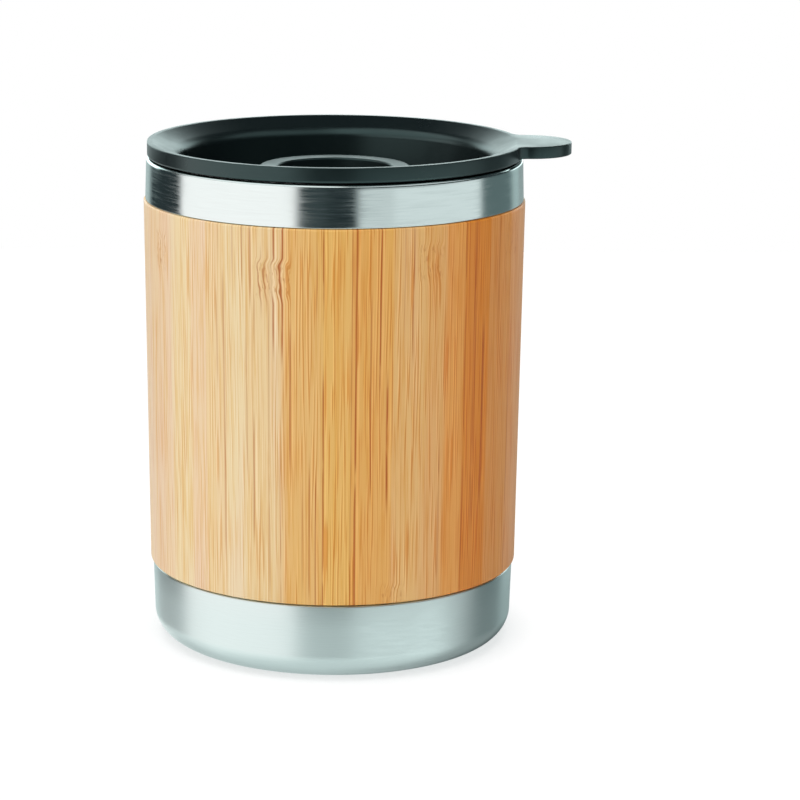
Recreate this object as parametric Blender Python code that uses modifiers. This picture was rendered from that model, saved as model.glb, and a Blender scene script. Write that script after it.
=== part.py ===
"""Double-wall steel tumbler with a bamboo sleeve and a press-in lid that has a turning sip closure.

Metres, +Z up. The origin is the middle of the base's flat underside, on the cup's axis, and the lid's
thumb tab points along +X. Every turned piece is a profile of (radius, height) points that runs down its
outer side, spun about Z.
"""
import math

import bmesh
import bpy

# Fits, sheet metal and how finely round pieces are cut
FIT_GAP = 0.0003
SHEET = 0.0006
SEGMENTS = 48
ARC_STEPS = 4

# Bamboo sleeve, a slightly tapered tube
SLEEVE_TOP_RADIUS = 0.0400
SLEEVE_BOTTOM_RADIUS = 0.0391
SLEEVE_HEIGHT = 0.07753
SLEEVE_WALL = 0.0018
SLEEVE_EDGE = 0.0004

# Base cap below the sleeve
BASE_HEIGHT = 0.01625
BASE_SETBACK = 0.0005
BASE_DRAFT = 0.0003
BASE_EDGE = 0.0004
FOOT_FILLET = 0.0055

# Steel body: band at the mouth, double wall and its bottom
BAND_HEIGHT = 0.00842
BAND_SETBACK = 0.00035
BAND_DRAFT = 0.00025
BAND_EDGE = 0.0003
LIP_ROUND = 0.0008
LIP_FLANGE = 0.0010
WALL_SPACE_TOP = 0.0008
WALL_SPACE_BOTTOM = 0.0024
BOTTOM_SPACE = 0.0040
LINER_CORNER = 0.0070
PLATE_RIM = 0.0040

# Lid: rim, funnel, dish and plug skirt
RIM_HEIGHT = 0.00308
RIM_SETBACK = 0.0002
RIM_ROUND = 0.0002
RIM_FLAT = 0.0003
RIM_EDGE = 0.0004
FUNNEL_DROP = 0.0016
SHOULDER_ROUND = 0.0026
LID_WALL = 0.0019
LID_FLOOR = 0.0016
DISH_DEPTH = 0.01118
DISH_DRAFT = 0.0008
DISH_FILLET = 0.0015
SKIRT_DROP = 0.0028
SKIRT_CHAMFER = 0.0005

# Thumb tab
TAB_REACH = 0.0103
TAB_LOBE = 0.0090
TAB_FILLET = 0.0025
TAB_THICKNESS = 0.0025
TAB_DROP = 0.00005

# Lid seal in its groove round the plug
SEAL_SPACE = 0.0018
SEAL_DROP = 0.0030
SEAL_HEIGHT = 0.0030
SEAL_LIP = 0.0008
SEAL_BODY = 0.0008
GROOVE_DEPTH = 0.0007

# Turning closure and its sip slot
DISC_THICKNESS = 0.0014
RING_RADIUS = 0.0158
RING_WALL = 0.0036
RING_HEIGHT = 0.0040
RING_DIP = 0.00015
RING_EDGE = 0.0004
FINGER_BAR_WIDTH = 0.0030
FINGER_BAR_DROP = 0.0020
STEM_RADIUS = 0.0040
HEAD_REACH = 0.0012
HEAD_HEIGHT = 0.0014
SNAP_SLOT = 0.0012
SIP_WIDTH = 0.0070
SIP_LENGTH = 0.0140

# Heights of the stack, from the table up
SLEEVE_FOOT = BASE_HEIGHT + FIT_GAP
SLEEVE_TOP = SLEEVE_FOOT + SLEEVE_HEIGHT
SHOULDER = SLEEVE_TOP + FIT_GAP
LIP_TOP = SHOULDER + BAND_HEIGHT
PLATE_FOOT = SHEET + FIT_GAP
SHELL_FOOT = FOOT_FILLET + FIT_GAP
LINER_FOOT = PLATE_FOOT + SHEET + BOTTOM_SPACE


def sleeve_radius(z):
    """Outer radius of the sleeve's cone, carried on past its two ends."""
    rise = (z - SLEEVE_FOOT) / SLEEVE_HEIGHT
    return SLEEVE_BOTTOM_RADIUS + rise * (SLEEVE_TOP_RADIUS - SLEEVE_BOTTOM_RADIUS)


def waist_radius(z):
    """Outer radius of the steel wall that the sleeve slides over."""
    return sleeve_radius(z) - SLEEVE_WALL - FIT_GAP


def liner_radius(z):
    """Outer radius of the liner: inside the waist by a space that widens towards the base."""
    rise = (z - BASE_HEIGHT) / (SHOULDER - BASE_HEIGHT)
    space = WALL_SPACE_BOTTOM + rise * (WALL_SPACE_TOP - WALL_SPACE_BOTTOM)
    return waist_radius(z) - SHEET - space


def bore_radius(z):
    """Inner radius of the drinking cup."""
    return liner_radius(z) - SHEET


# Radii that neighbouring pieces share
BAND_RADIUS = SLEEVE_TOP_RADIUS - BAND_SETBACK
LIP_RADIUS = BAND_RADIUS - BAND_DRAFT
LINER_FLANGE = liner_radius(LIP_TOP) + LIP_FLANGE
BASE_TOP_RADIUS = SLEEVE_BOTTOM_RADIUS - BASE_SETBACK
BASE_LOW_RADIUS = BASE_TOP_RADIUS - BASE_DRAFT

# Lid levels, measured from the lip that the lid rests on
RIM_UNDER = FIT_GAP
LID_TOP = RIM_UNDER + RIM_HEIGHT
FLOOR_TOP = LID_TOP - DISH_DEPTH
FLOOR_UNDER = FLOOR_TOP - LID_FLOOR
SKIRT_FOOT = FLOOR_UNDER - SKIRT_DROP
SEAL_TOP = RIM_UNDER - SEAL_DROP - FIT_GAP
SEAL_FOOT = SEAL_TOP - SEAL_HEIGHT
DISC_UNDER = FLOOR_TOP + FIT_GAP
DISC_TOP = DISC_UNDER + DISC_THICKNESS

# Lid radii
RIM_RADIUS = LIP_RADIUS - RIM_SETBACK
CREST_RADIUS = RIM_RADIUS - RIM_ROUND - RIM_FLAT
PLUG_RADIUS = bore_radius(LIP_TOP) - SEAL_SPACE
DISH_RADIUS = PLUG_RADIUS - LID_WALL
DISH_FLOOR_RADIUS = DISH_RADIUS - DISH_DRAFT
DISC_RADIUS = DISH_FLOOR_RADIUS - DISH_FILLET - FIT_GAP
SIP_RADIUS = (RING_RADIUS + DISC_RADIUS) / 2


def arc(radius_centre, height_centre, radius, start, end, steps=ARC_STEPS):
    """Points along a circular arc in a profile, from the start angle to the end angle in degrees."""
    angles = [math.radians(start + (end - start) * i / steps) for i in range(steps + 1)]
    return [(radius_centre + radius * math.cos(a), height_centre + radius * math.sin(a)) for a in angles]


def material(name, colour, roughness, metallic):
    """Principled material with a plain colour."""
    mat = bpy.data.materials.new(name)
    mat.use_nodes = True
    shader = mat.node_tree.nodes["Principled BSDF"]
    shader.inputs["Base Color"].default_value = (*colour, 1.0)
    shader.inputs["Roughness"].default_value = roughness
    shader.inputs["Metallic"].default_value = metallic
    return mat


def add_object(name, data, collection, parent=None):
    """Links a new object into a collection, under an empty where one is given."""
    obj = bpy.data.objects.new(name, data)
    collection.objects.link(obj)
    obj.parent = parent
    return obj


def turned(name, profile, mat, collection, parent=None, closed=True):
    """Spins a profile about Z; an open profile starts and ends on the axis."""
    mesh = bpy.data.meshes.new(name)
    count = len(profile)
    edges = [(i, (i + 1) % count) for i in range(count if closed else count - 1)]
    mesh.from_pydata([(r, 0.0, z) for r, z in profile], edges, [])
    mesh.materials.append(mat)
    obj = add_object(name, mesh, collection, parent)
    screw = obj.modifiers.new("turn", "SCREW")
    screw.axis = "Z"
    screw.steps = SEGMENTS
    screw.render_steps = SEGMENTS
    screw.use_merge_vertices = True
    screw.merge_threshold = 0.00001
    return obj


def flat_solid(name, outline, low, high, collection, parent):
    """Closed mesh made from a filled 2D outline between two heights."""
    curve = bpy.data.curves.new(name + "_outline", "CURVE")
    curve.dimensions = "2D"
    curve.fill_mode = "BOTH"
    curve.extrude = (high - low) / 2
    spline = curve.splines.new("POLY")
    spline.points.add(len(outline) - 1)
    for point, (x, y) in zip(spline.points, outline):
        point.co = (x, y, 0.0, 1.0)
    spline.use_cyclic_u = True
    guide = add_object(name + "_guide", curve, collection, parent)
    guide.location.z = (low + high) / 2
    bpy.context.view_layer.update()
    graph = bpy.context.evaluated_depsgraph_get()
    mesh = bpy.data.meshes.new_from_object(guide.evaluated_get(graph))
    work = bmesh.new()
    work.from_mesh(mesh)
    bmesh.ops.remove_doubles(work, verts=work.verts, dist=0.000001)
    bmesh.ops.recalc_face_normals(work, faces=work.faces)
    work.to_mesh(mesh)
    work.free()
    solid = add_object(name, mesh, collection, parent)
    solid.location = guide.location
    bpy.data.objects.remove(guide)
    bpy.data.curves.remove(curve)
    return as_tool(solid)


def box(name, size, centre, collection, parent):
    """Closed box tool, for joining or cutting."""
    mesh = bpy.data.meshes.new(name)
    work = bmesh.new()
    bmesh.ops.create_cube(work, size=1.0)
    bmesh.ops.scale(work, vec=size, verts=work.verts)
    work.to_mesh(mesh)
    work.free()
    solid = add_object(name, mesh, collection, parent)
    solid.location = centre
    return as_tool(solid)


def as_tool(obj):
    """Marks an object that only shapes others."""
    obj.hide_render = True
    obj.display_type = "WIRE"
    return obj


def combine(obj, tool, operation):
    """Boolean modifier between a piece and a tool."""
    modifier = obj.modifiers.new(tool.name, "BOOLEAN")
    modifier.operation = operation
    modifier.object = tool
    modifier.solver = "EXACT"


def outer_shell(mat, parts):
    """Outer wall: flange at the mouth, polished band, shoulder and the waist behind the sleeve."""
    flange = LINER_FLANGE + FIT_GAP
    profile = [(flange, LIP_TOP)]
    profile += arc(LIP_RADIUS - LIP_ROUND, LIP_TOP - LIP_ROUND, LIP_ROUND, 90, 0)
    profile += arc(BAND_RADIUS - BAND_EDGE, SHOULDER + BAND_EDGE, BAND_EDGE, 0, -90, 2)
    profile += [(waist_radius(SHOULDER), SHOULDER), (waist_radius(SHELL_FOOT), SHELL_FOOT)]
    profile += [(waist_radius(SHELL_FOOT) - SHEET, SHELL_FOOT)]
    profile += [(waist_radius(SHOULDER) - SHEET, SHOULDER + SHEET), (BAND_RADIUS - SHEET, SHOULDER + SHEET)]
    profile += [(LIP_RADIUS - SHEET, LIP_TOP - SHEET), (flange, LIP_TOP - SHEET)]
    return turned("outer_shell", profile, mat, parts)


def bottom_plate(mat, parts):
    """Pan that closes the outer wall from below, its rim standing inside the wall."""
    def outer(z):
        return waist_radius(z) - SHEET - FIT_GAP

    corner = FOOT_FILLET - PLATE_FOOT
    middle = outer(FOOT_FILLET) - corner
    rim_top = SHELL_FOOT + PLATE_RIM
    profile = [(0.0, PLATE_FOOT + SHEET)]
    profile += arc(middle, FOOT_FILLET, corner - SHEET, -90, 0)
    profile += [(outer(rim_top) - SHEET, rim_top), (outer(rim_top), rim_top)]
    profile += arc(middle, FOOT_FILLET, corner, 0, -90)
    profile += [(0.0, PLATE_FOOT)]
    return turned("bottom_plate", profile, mat, parts, closed=False)


def inner_liner(mat, parts):
    """Drinking cup with a rounded floor and a mouth turned out to the lip's seam."""
    centre = LINER_FOOT + LINER_CORNER
    middle = liner_radius(centre) - LINER_CORNER
    bore = bore_radius(LIP_TOP)
    profile = [(0.0, LINER_FOOT + SHEET)]
    profile += arc(middle, centre, LINER_CORNER - SHEET, -90, 0)
    profile += arc(bore + SHEET, LIP_TOP - SHEET, SHEET, 180, 90)
    profile += [(LINER_FLANGE, LIP_TOP), (LINER_FLANGE, LIP_TOP - SHEET)]
    profile += [(liner_radius(LIP_TOP - SHEET), LIP_TOP - SHEET)]
    profile += arc(middle, centre, LINER_CORNER, 0, -90)
    profile += [(0.0, LINER_FOOT)]
    return turned("inner_liner", profile, mat, parts, closed=False)


def base_cap(mat, parts):
    """Steel cup with the rounded foot and an inward rim that carries the sleeve."""
    collar = waist_radius(BASE_HEIGHT) + FIT_GAP
    middle = BASE_LOW_RADIUS - FOOT_FILLET
    profile = [(0.0, SHEET)]
    profile += arc(middle, FOOT_FILLET, FOOT_FILLET - SHEET, -90, 0)
    profile += [(BASE_TOP_RADIUS - SHEET, BASE_HEIGHT - SHEET)]
    profile += [(collar, BASE_HEIGHT - SHEET), (collar, BASE_HEIGHT)]
    profile += arc(BASE_TOP_RADIUS - BASE_EDGE, BASE_HEIGHT - BASE_EDGE, BASE_EDGE, 90, 0, 2)
    profile += arc(middle, FOOT_FILLET, FOOT_FILLET, 0, -90, 6)
    profile += [(0.0, 0.0)]
    return turned("base_cap", profile, mat, parts, closed=False)


def bamboo_sleeve(mat, parts):
    """Tapered tube with softened outer edges."""
    high = SLEEVE_TOP - SLEEVE_EDGE
    low = SLEEVE_FOOT + SLEEVE_EDGE
    profile = arc(sleeve_radius(high) - SLEEVE_EDGE, high, SLEEVE_EDGE, 90, 0, 3)
    profile += arc(sleeve_radius(low) - SLEEVE_EDGE, low, SLEEVE_EDGE, 0, -90, 3)
    profile += [(sleeve_radius(SLEEVE_FOOT) - SLEEVE_WALL, SLEEVE_FOOT)]
    profile += [(sleeve_radius(SLEEVE_TOP) - SLEEVE_WALL, SLEEVE_TOP)]
    return turned("bamboo_sleeve", profile, mat, parts)


def lid_profile():
    """Half section of the lid: rim, plug skirt with its groove, floor with the stem hole, dish and funnel."""
    groove = PLUG_RADIUS - GROOVE_DEPTH
    shoulder_radius = DISH_RADIUS + SHOULDER_ROUND
    shoulder_height = LID_TOP - FUNNEL_DROP - SHOULDER_ROUND
    slope = math.degrees(math.atan2(FUNNEL_DROP, CREST_RADIUS - shoulder_radius))
    profile = [(CREST_RADIUS, LID_TOP)]
    profile += arc(RIM_RADIUS - RIM_ROUND, LID_TOP - RIM_ROUND, RIM_ROUND, 90, 0, 2)
    profile += arc(RIM_RADIUS - RIM_EDGE, RIM_UNDER + RIM_EDGE, RIM_EDGE, 0, -90, 2)
    profile += [(PLUG_RADIUS, RIM_UNDER), (PLUG_RADIUS, SEAL_TOP + FIT_GAP), (groove, SEAL_TOP + FIT_GAP)]
    profile += [(groove, SEAL_FOOT - FIT_GAP), (PLUG_RADIUS, SEAL_FOOT - FIT_GAP)]
    profile += [(PLUG_RADIUS, SKIRT_FOOT + SKIRT_CHAMFER), (PLUG_RADIUS - SKIRT_CHAMFER, SKIRT_FOOT)]
    profile += [(DISH_RADIUS, SKIRT_FOOT), (DISH_RADIUS, FLOOR_UNDER)]
    profile += [(STEM_RADIUS + FIT_GAP, FLOOR_UNDER), (STEM_RADIUS + FIT_GAP, FLOOR_TOP)]
    profile += arc(DISH_FLOOR_RADIUS - DISH_FILLET, FLOOR_TOP + DISH_FILLET, DISH_FILLET, -90, 0, 3)
    profile += arc(shoulder_radius, shoulder_height, SHOULDER_ROUND, 180, 90 + slope)
    return profile


def tab_outline():
    """Thumb tab seen from above: a round lobe, filleted on both sides into the rim's circle."""
    lobe_x = RIM_RADIUS + TAB_REACH - TAB_LOBE
    to_axis = RIM_RADIUS + TAB_FILLET
    to_lobe = TAB_LOBE + TAB_FILLET
    fillet_x = (to_axis ** 2 - to_lobe ** 2 + lobe_x ** 2) / (2 * lobe_x)
    fillet_y = math.sqrt(to_axis ** 2 - fillet_x ** 2)
    rim_angle = math.degrees(math.atan2(fillet_y, fillet_x))
    lobe_angle = math.degrees(math.atan2(fillet_y, fillet_x - lobe_x))
    half = arc(lobe_x, 0.0, TAB_LOBE, 0, lobe_angle, 8)
    half += arc(fillet_x, fillet_y, TAB_FILLET, lobe_angle - 180, rim_angle - 180)[1:]
    half += arc(0.0, 0.0, CREST_RADIUS, rim_angle, 0, 6)[:-1]
    return half + [(CREST_RADIUS, 0.0)] + [(x, -y) for x, y in reversed(half[1:])]


def slot_outline():
    """Sip slot seen from above: a round-ended slot across -X, between the ring and the dish wall."""
    end = SIP_WIDTH / 2
    reach = SIP_LENGTH / 2 - end
    return arc(-SIP_RADIUS, reach, end, 0, 180, 6) + arc(-SIP_RADIUS, -reach, end, 180, 360, 6)


def lid_body(mat, parts, tools, lift):
    """Turned lid with its thumb tab joined on."""
    lid = turned("lid_body", lid_profile(), mat, parts, lift)
    tab_top = LID_TOP - TAB_DROP
    tab = flat_solid("thumb_tab", tab_outline(), tab_top - TAB_THICKNESS, tab_top, tools, lift)
    combine(lid, tab, "UNION")
    return lid


def lid_seal(mat, parts, lift):
    """Silicone ring with two lips that reach for the cup's bore."""
    seat = PLUG_RADIUS - GROOVE_DEPTH + FIT_GAP
    body = PLUG_RADIUS + SEAL_BODY

    def reach(z):
        return bore_radius(LIP_TOP + z) - FIT_GAP

    profile = [(reach(SEAL_TOP - SEAL_LIP), SEAL_TOP), (reach(SEAL_TOP - SEAL_LIP), SEAL_TOP - SEAL_LIP)]
    profile += [(body, SEAL_TOP - SEAL_LIP), (body, SEAL_FOOT + SEAL_LIP)]
    profile += [(reach(SEAL_FOOT), SEAL_FOOT + SEAL_LIP), (reach(SEAL_FOOT), SEAL_FOOT)]
    profile += [(seat, SEAL_FOOT), (seat, SEAL_TOP)]
    return turned("lid_seal", profile, mat, parts, lift)


def closure_disc(mat, parts, tools, lift):
    """Turning closure: disc on the dish floor, raised ring that dips inwards, finger bar and split snap stem."""
    head_top = FLOOR_UNDER - FIT_GAP
    head_foot = head_top - HEAD_HEIGHT
    ring_top = DISC_TOP + RING_HEIGHT
    ring_inner = RING_RADIUS - RING_WALL
    profile = [(0.0, DISC_TOP), (ring_inner, DISC_TOP)]
    profile += arc(ring_inner + RING_EDGE, ring_top - RING_DIP - RING_EDGE, RING_EDGE, 180, 90, 2)
    profile += arc(RING_RADIUS - RING_EDGE, ring_top - RING_EDGE, RING_EDGE, 90, 0, 2)
    profile += [(RING_RADIUS, DISC_TOP), (DISC_RADIUS, DISC_TOP), (DISC_RADIUS, DISC_UNDER)]
    profile += [(STEM_RADIUS, DISC_UNDER), (STEM_RADIUS, head_top), (STEM_RADIUS + HEAD_REACH, head_top)]
    profile += [(STEM_RADIUS, head_foot), (0.0, head_foot)]
    disc = turned("closure_disc", profile, mat, parts, lift, closed=False)

    bar_top = ring_top - FINGER_BAR_DROP
    bar_size = (2 * RING_RADIUS - RING_WALL, FINGER_BAR_WIDTH, bar_top - DISC_UNDER - DISC_THICKNESS / 2)
    bar = box("finger_bar", bar_size, (0.0, 0.0, bar_top - bar_size[2] / 2), tools, lift)
    combine(disc, bar, "UNION")
    slot_size = (SNAP_SLOT, 4 * STEM_RADIUS, 2 * (FLOOR_TOP - head_foot))
    slot = box("snap_slot", slot_size, (0.0, 0.0, FLOOR_TOP - slot_size[2] / 2), tools, lift)
    combine(disc, slot, "DIFFERENCE")
    return disc


def main():
    """Clears the scene and builds every piece of the tumbler."""
    for obj in list(bpy.data.objects):
        bpy.data.objects.remove(obj)
    parts = bpy.data.collections.new("steel_tumbler")
    tools = bpy.data.collections.new("cutters")
    bpy.context.scene.collection.children.link(parts)
    bpy.context.scene.collection.children.link(tools)

    polished = material("polished_steel", (0.72, 0.76, 0.75), 0.12, 1.0)
    drawn = material("drawn_steel", (0.66, 0.69, 0.69), 0.30, 1.0)
    satin = material("satin_steel", (0.68, 0.72, 0.72), 0.35, 1.0)
    bamboo = material("bamboo", (0.68, 0.40, 0.14), 0.45, 0.0)
    plastic = material("lid_plastic", (0.012, 0.018, 0.019), 0.40, 0.0)
    silicone = material("seal_silicone", (0.05, 0.055, 0.06), 0.60, 0.0)

    outer_shell(polished, parts)
    bottom_plate(drawn, parts)
    inner_liner(drawn, parts)
    base_cap(satin, parts)
    bamboo_sleeve(bamboo, parts)

    lift = add_object("lid_lift", None, parts)
    lift.location.z = LIP_TOP
    lid = lid_body(plastic, parts, tools, lift)
    lid_seal(silicone, parts, lift)
    disc = closure_disc(plastic, parts, tools, lift)
    slot = flat_solid("sip_slot", slot_outline(), FLOOR_UNDER - LID_FLOOR, DISC_TOP + DISC_THICKNESS, tools, lift)
    combine(lid, slot, "DIFFERENCE")
    combine(disc, slot, "DIFFERENCE")


main()
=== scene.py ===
"""Steel tumbler with a bamboo sleeve and a press-in lid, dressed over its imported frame.

Metres, +Z up. The cup's axis is Z, its base stands on z = 0, and the lid's thumb tab points along +X.
Every piece is a closed surface worked out with numpy, at the origin, and rides on a body of the frame.
"""
import math
from functools import partialmethod

import bpy
import numpy as np
from bpy.props import FloatProperty, FloatVectorProperty, IntProperty, PointerProperty
from mathutils import Matrix, Vector


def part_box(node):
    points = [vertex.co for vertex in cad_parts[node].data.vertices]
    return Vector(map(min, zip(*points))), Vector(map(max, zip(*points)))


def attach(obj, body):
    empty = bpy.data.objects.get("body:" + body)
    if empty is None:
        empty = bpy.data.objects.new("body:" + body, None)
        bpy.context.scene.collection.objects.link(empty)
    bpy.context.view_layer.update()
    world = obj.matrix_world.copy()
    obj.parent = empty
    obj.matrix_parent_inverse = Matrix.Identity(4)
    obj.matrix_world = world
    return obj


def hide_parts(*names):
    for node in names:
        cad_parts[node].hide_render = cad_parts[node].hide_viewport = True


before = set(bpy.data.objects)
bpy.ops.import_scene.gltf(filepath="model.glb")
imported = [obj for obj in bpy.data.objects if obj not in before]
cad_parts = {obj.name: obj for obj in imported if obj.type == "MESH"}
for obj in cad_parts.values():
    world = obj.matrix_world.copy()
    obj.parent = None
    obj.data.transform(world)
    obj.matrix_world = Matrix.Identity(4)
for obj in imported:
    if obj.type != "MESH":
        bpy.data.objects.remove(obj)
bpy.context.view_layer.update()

bl_info = {
    "name": "Bamboo Sleeve Tumbler",
    "version": (1, 0, 0),
    "blender": (4, 5, 0),
    "location": "3D View > Sidebar > Tumbler",
    "description": "Builds a steel tumbler with a bamboo sleeve and a lid, its finishes and its studio",
    "category": "Add Mesh",
}

# Levels and radii that the frame gives
BASE_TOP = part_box("base_cap")[1].z
BASE_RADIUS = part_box("base_cap")[1].x
SLEEVE_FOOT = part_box("bamboo_sleeve")[0].z
SLEEVE_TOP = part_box("bamboo_sleeve")[1].z
SLEEVE_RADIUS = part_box("bamboo_sleeve")[1].x
SHELL_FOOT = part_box("outer_shell")[0].z
LIP_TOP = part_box("outer_shell")[1].z
BAND_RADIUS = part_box("outer_shell")[1].x
LINER_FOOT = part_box("inner_liner")[0].z
LINER_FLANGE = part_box("inner_liner")[1].x
PLATE_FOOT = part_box("bottom_plate")[0].z
PLATE_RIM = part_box("bottom_plate")[1].z
LID_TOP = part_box("lid_body")[1].z
RIM_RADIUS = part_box("lid_body")[1].y
TAB_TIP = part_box("lid_body")[1].x
SKIRT_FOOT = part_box("lid_body")[0].z
SEAL_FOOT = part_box("lid_seal")[0].z
SEAL_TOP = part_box("lid_seal")[1].z
RING_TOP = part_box("closure_disc")[1].z
DISC_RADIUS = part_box("closure_disc")[1].x
HEAD_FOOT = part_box("closure_disc")[0].z
# Fit gap between two pieces, and the level of the shell's shoulder above the sleeve
FIT = 0.0003
SHOULDER = SLEEVE_TOP + FIT
# Small roundings of the lid's plug, skirt and floor, its seal, and the closure's ring, disc and bar
PLUG_ROUND = 0.0005
SKIRT_ROUND = 0.0004
FLOOR_ROUND = 0.0008
SEAL_ROUND = 0.0003
RING_FOOT = 0.0005
DISC_EDGE = 0.0003
BAR_EDGE = 0.0005
# Straight height of the snap head's edge
HEAD_EDGE = 0.0003
# How far outside the rim the lid's edge has the tab's own section
TAB_BLEND = 0.0012
# How far above the tab's underside the rings on the rim's side start
SIDE_RISE = 0.0006
# Small distance that keeps rings apart, the floor off the base, and the brush lines' radius above 0
HAIR = 0.0001
# How far a tool reaches out of the stem that it cuts
TOOL_REACH = 0.001
# Shares of a straight line where rings stand, so that the shading of its rounded ends stays near them
HOLD_FLAT = np.array([[0.06], [0.5], [0.94]])
# Degrees in a radian
DEGREES = 180 / math.pi

# Strips of the sleeve from the back round to the back again: where each starts, in degrees from the
# front, half the width of its soft edge, and its tone
STRIPS = (
    (-180, 0.2, "honey"), (-164, 0.3, "straw"), (-138, 0.3, "tan"), (-121, 0.6, "cream"),
    (-99, 0.3, "straw"), (-84, 0.4, "blush"), (-57, 0.8, "cream"), (-47, 1.0, "blush"),
    (-40.5, 0.4, "biscuit"), (-33.5, 1.0, "cream"), (-26.5, 1.0, "biscuit"), (-15, 2.2, "straw"),
    (-2.9, 0.4, "maize"), (5.2, 0.3, "honey"), (17.4, 0.8, "tan"), (27.5, 1.2, "sand"),
    (34.5, 0.8, "amber"), (41.5, 0.6, "russet"), (52.7, 0.5, "umber"), (66, 1.0, "clay_with_sheen"),
    (83, 0.4, "honey"), (101, 0.4, "straw"), (126, 0.5, "cream"), (149, 0.5, "tan"), (166, 0.3, "honey"),
)
# Long dark fibres: angle and half width in degrees, strength, lowest and highest level in mm
FIBRES = (
    (-36.4, 0.3, 0.4, 62, 79), (-35.6, 0.3, 0.35, 88, 99), (-33.9, 0.42, 0.55, 26, 83),
    (-30.6, 0.3, 0.45, 85, 99), (-27.3, 0.3, 0.5, 84, 99), (-26, 0.3, 0.45, 44, 71),
    (-24.6, 0.28, 0.75, 80, 99), (-23.8, 0.36, 0.7, 31, 54), (-23.5, 0.3, 0.45, 71, 81),
    (-21.3, 0.28, 0.85, 78, 88), (-19.5, 0.28, 0.8, 79, 88), (-19, 0.25, 0.5, 20, 78),
    (-17.6, 0.32, 1, 70, 99), (-15.6, 0.24, 0.45, 12, 48), (-15, 0.32, 1, 68, 99),
    (-12.6, 0.34, 0.8, 46, 74), (-9, 0.28, 0.45, 20, 40), (-6.9, 0.3, 0.5, 18, 46),
    (-5, 0.28, 0.65, 12, 44), (-4.9, 0.24, 0.35, 74, 93), (-2.9, 0.34, 0.85, 77, 94),
    (-2.8, 0.34, 0.85, 10, 64), (5.1, 0.28, 0.45, 10, 99), (6.4, 0.36, 0.95, 10, 99),
    (10.9, 0.3, 0.65, 40, 79), (13.6, 0.32, 0.85, 62, 95), (15.9, 0.4, 0.95, 38, 63),
    (20.6, 0.26, 0.35, 72, 95), (23.4, 0.34, 0.6, 68, 95), (33, 0.34, 0.5, 14, 48),
    (42, 0.34, 0.55, 10, 99), (46, 0.8, 0.4, 30, 99), (50, 0.6, 0.8, 36, 72),
    (57.6, 0.5, 0.45, 74, 95), (66, 0.45, 0.45, 16, 64), (-150, 0.35, 0.75, 10, 70),
    (-118, 0.35, 0.8, 30, 99), (-96, 0.3, 0.6, 10, 60), (93, 0.35, 0.7, 40, 99),
    (104, 0.35, 0.8, 10, 80), (139, 0.32, 0.7, 24, 99),
)
# Knuckles, where the culm's joint crosses a strip: angle, half width in degrees, level in mm, strength
KNUCKLES = (
    (-18, 6, 84, 1), (29, 4.6, 87, 0.75), (-62.5, 3.5, 86, 1), (66, 6, 88.5, 0.7), (17.5, 5, 17, 0.7),
    (-132, 6, 40, 0.9), (-92, 5, 63, 0.7), (114, 7, 58, 0.9), (158, 6, 30, 0.8),
)
# Half height of a knuckle in mm
KNUCKLE_HALF = 4.4
# In metres: how far the lines lean, how far they wave and step aside in a knuckle, and how far beside a
# faint vein its lighter line, a painted highlight, lies
LEAN = 0.0006
KNUCKLE_WAVE = 0.0012
KNUCKLE_STEP = 0.0006
GLEAM_ASIDE = 0.00025
# Strength above which a fibre has a lighter line, a painted highlight, beside it, and how many of its half
# widths aside that lies
STRONG = 0.6
PAINTED_GLEAM_ASIDE = 2.2
# What multiplies a strip's tone where it is yellower, in shade, in a knuckle, and in the painted highlight
# beside a dark line
YELLOWED = (1.0, 1.0, 0.90)
SHADED = (0.94, 0.82, 0.62)
JOINTED = (0.95, 0.90, 0.80)
PAINTED_GLEAM = (1.12, 1.18, 1.32)
# Tint of the gloss on plastic and silicone
GLOSS = (0.62, 1.0, 0.99)

# Where the lamps look
CUP_MIDDLE = Vector((0.0, 0.0, 0.05))
# Tints of the studio's light
ROOM = (0.026, 0.038, 0.042)
ROSE = (1.0, 0.915, 0.91)
PETAL = (1.0, 0.97, 0.96)
WHITE = (1.0, 1.0, 0.99)
COLD = (0.98, 1.0, 1.0)
MIST = (0.93, 1.0, 0.99)
SEA = (0.85, 1.0, 0.99)
TEAL = (0.80, 1.0, 1.0)
DEEP = (0.75, 1.0, 1.0)
# Windows of light round the cup: where azimuth is counted from; in degrees the left, right, low and high
# edge and the half width of the soft sides and of the soft top and foot; the radiance, as a share of a
# setting where one is named; the tint
WINDOWS = (
    ("front", -105.6, -22.2, -20, 24, 3.5, 7, 1.0, "key", ROSE),
    ("front", -21, -5, -18, 0, 6, 6, 0.03, None, TEAL),
    ("front", 14, 99, -14, -2, 3, 3, 0.88, "fill", COLD),
    ("front", 36, 99, -14, -2, 3, 3, 0.14, "fill", COLD),
    ("front", 99, 150, -20, -4, 4, 4, 0.17, None, DEEP),
    ("behind", -30, 0, -20, -4, 6, 6, 0.60, None, SEA),
    ("behind", 0, 44, -20, -4, 6, 6, 0.38, None, SEA),
    ("behind", -46, 46, -4, 23, 4, 4, 1.0, "back", SEA),
    ("front", -125, 8, 28, 80, 6, 6, 1.0, "high", WHITE),
    ("front", 14, 98, 24, 62, 5, 5, 0.70, None, COLD),
    ("front", -210, -120, -100, -19, 5, 5, 0.68, "table", MIST),
    ("front", -120, 90, -100, -19, 5, 5, 0.86, "table", MIST),
    ("front", 90, 150, -100, -19, 5, 5, 0.34, "table", MIST),
    ("front", 150, 210, -100, -46, 8, 8, 0.66, "table", MIST),
    ("front", -190, -104, -30, -17, 5, 5, 0.50, "table", PETAL),
    ("front", -100, -28, -42, -20, 6, 6, 0.38, "table", PETAL),
    ("front", -28, 12, -36, -19.5, 4, 4, 0.54, "table", MIST),
    ("front", 12, 78, -30, -16, 5, 5, 0.54, "table", MIST),
    ("front", 12, 97, -30, -16, 7, 7, 0.40, "table", MIST),
)


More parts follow.
